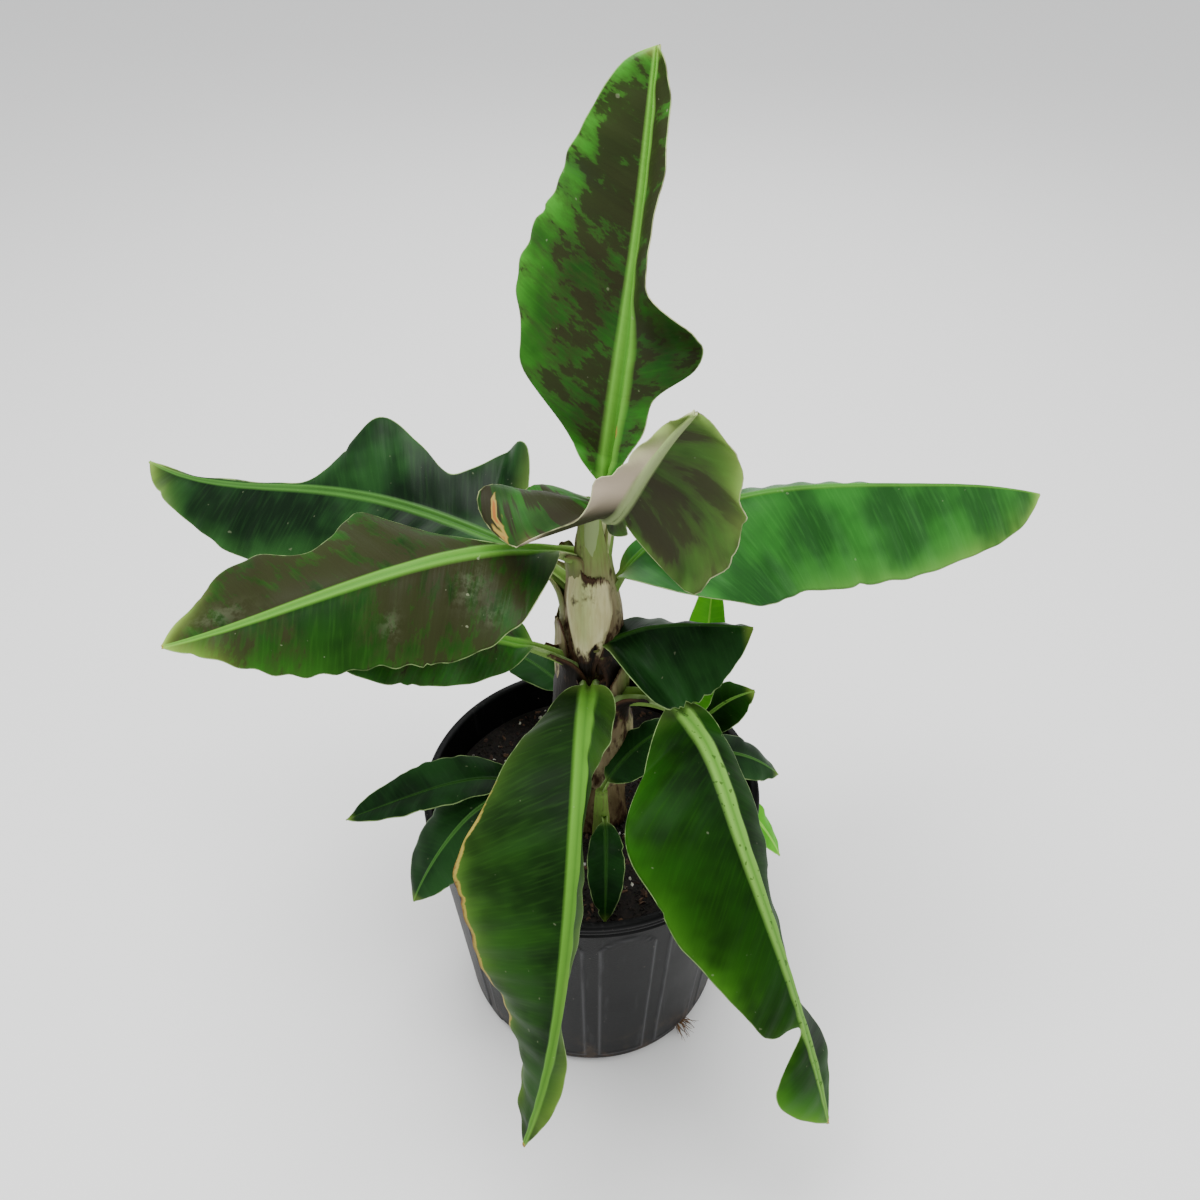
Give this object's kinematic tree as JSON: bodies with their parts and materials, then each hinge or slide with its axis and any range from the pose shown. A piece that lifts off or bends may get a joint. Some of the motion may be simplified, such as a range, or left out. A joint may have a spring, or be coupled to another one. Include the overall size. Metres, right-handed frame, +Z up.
{
  "type": "potted banana plant",
  "caption": "Young banana plant with nine main leaves, a short leaning stem and small suckers, growing in a round black nursery pot.",
  "frame": {"origin": "centre of the pot's flat underside", "axes": "+Z up along the stem, -Y towards the two long leaves that hang over the front of the rim, +X to the right of that view"},
  "size_m": [0.6784, 0.4714, 0.8163],
  "materials": {
    "pot_plastic": "satin",
    "potting_mix": "rough",
    "stem_tissue": "satin",
    "sheath_tissue": "satin",
    "green_leaf": "satin",
    "blotched_leaf": "satin",
    "young_leaf": "satin",
    "root_fibre": "rough"
  },
  "bodies": {
    "root": {"pot": "pot_plastic", "soil": "potting_mix", "pseudostem": "stem_tissue", "sheathFront": "sheath_tissue", "sheathLeft": "sheath_tissue", "sheathRight": "sheath_tissue", "leafUpright": "blotched_leaf", "leafCrumpled": "blotched_leaf", "leafRight": "green_leaf", "leafLeftBack": "green_leaf", "leafLeftFront": "blotched_leaf", "leafLeftLow": "blotched_leaf", "leafFront": "green_leaf", "leafFrontRight": "green_leaf", "leafSmallRight": "green_leaf", "suckerLeftStem": "stem_tissue", "suckerFrontStem": "stem_tissue", "suckerRightStem": "stem_tissue", "suckerBackStem": "stem_tissue", "suckerLeafLeft": "green_leaf", "suckerLeafLowLeft": "green_leaf", "suckerLeafFront": "green_leaf", "suckerLeafShade": "green_leaf", "suckerLeafBright": "young_leaf", "suckerLeafBack": "green_leaf", "suckerLeafRight": "green_leaf", "suckerLeafTip": "young_leaf", "suckerLeafRear": "green_leaf", "suckerLeafRearRight": "green_leaf", "suckerLeafRearLeft": "green_leaf", "rootTuft": "root_fibre"}
  },
  "joints": []
}
